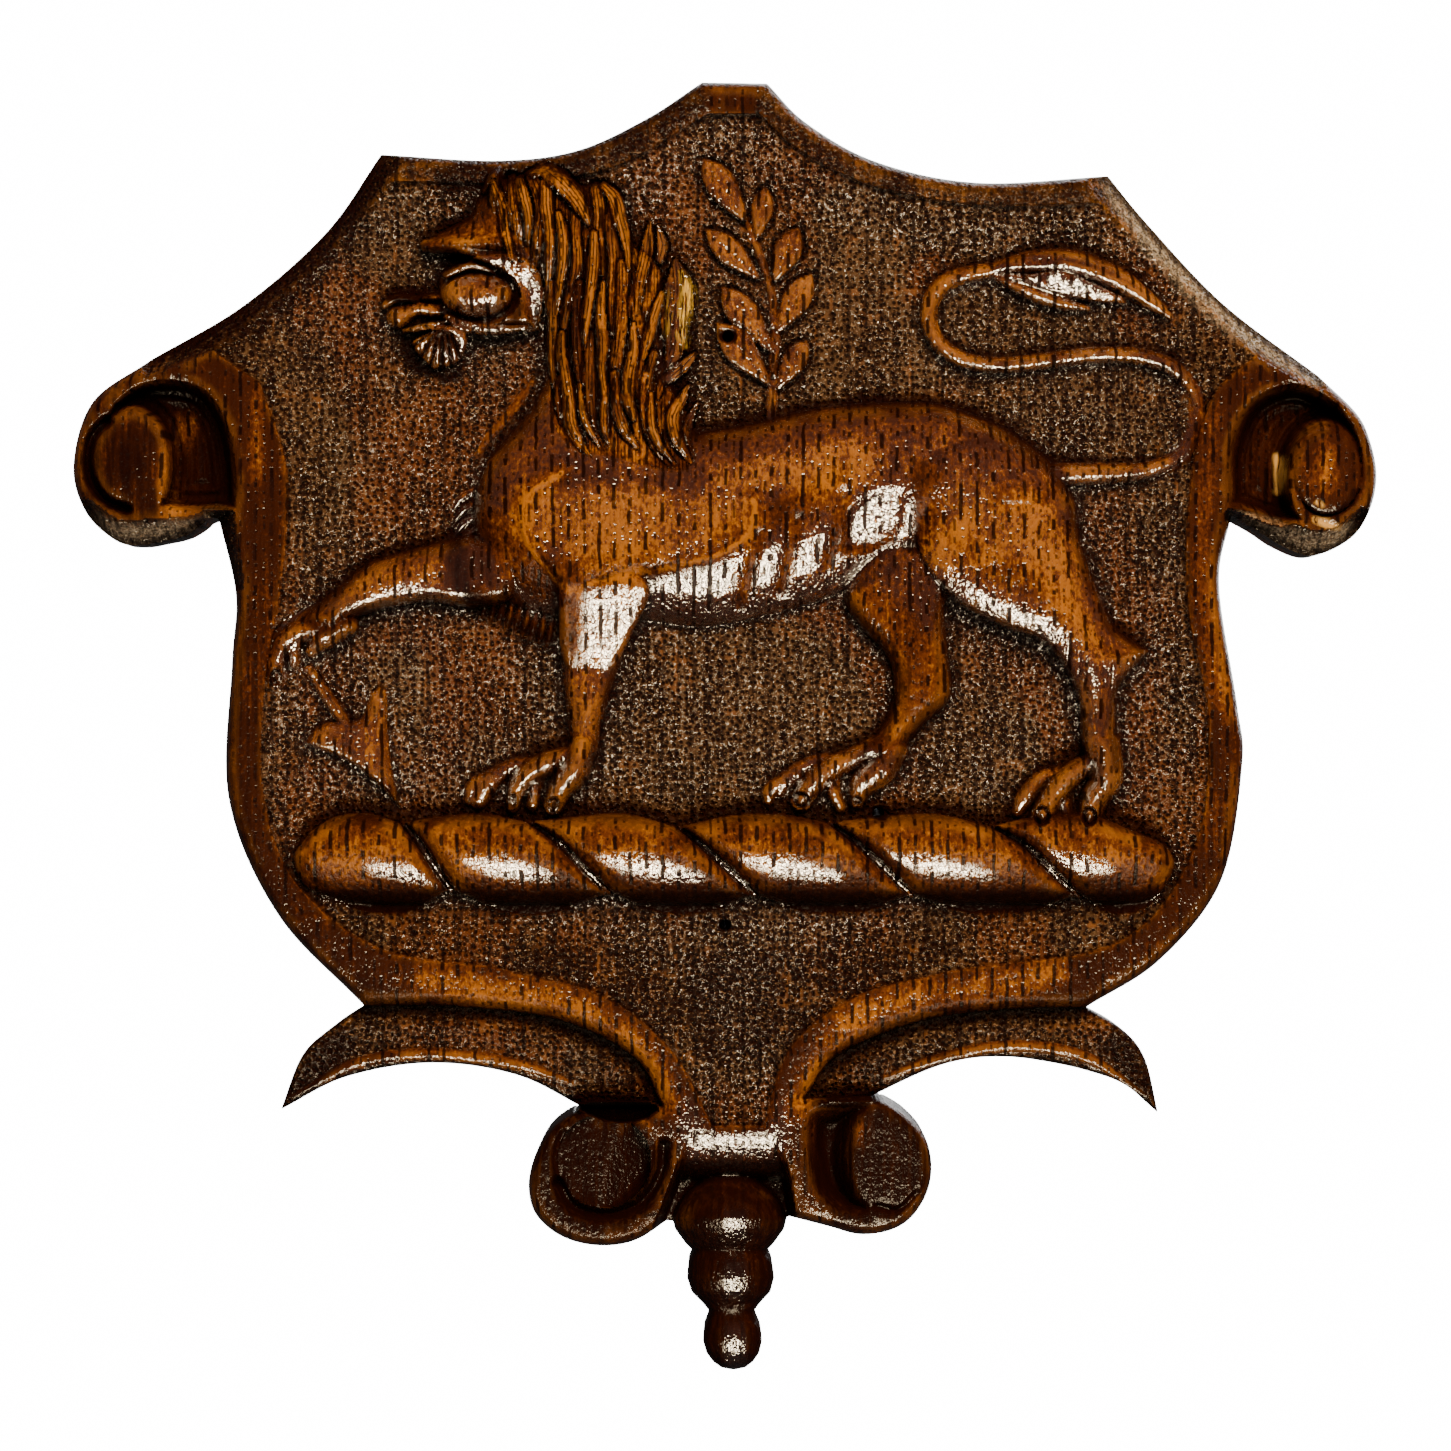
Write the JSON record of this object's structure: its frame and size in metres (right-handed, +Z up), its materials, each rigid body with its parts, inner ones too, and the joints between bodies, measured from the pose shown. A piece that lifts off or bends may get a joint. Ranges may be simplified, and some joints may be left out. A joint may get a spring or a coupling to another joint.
{
  "type": "carved heraldic shield plaque",
  "caption": "Carved oak wall plaque: a scrolled shield with a lion passant over a twisted torse, a leafy sprig, horned scrolls and a beaded drop below.",
  "frame": {"origin": "on the flat back, at the middle of the shield, where the wall meets it", "axes": "+Z up, +X to the right as seen from the front, -Y out of the wall towards the viewer"},
  "size_m": [0.2606, 0.022, 0.258],
  "materials": {
    "oak": "dark oak stain under a worn gloss varnish"
  },
  "bodies": {
    "root": {"carved_shield": "oak"}
  },
  "joints": []
}
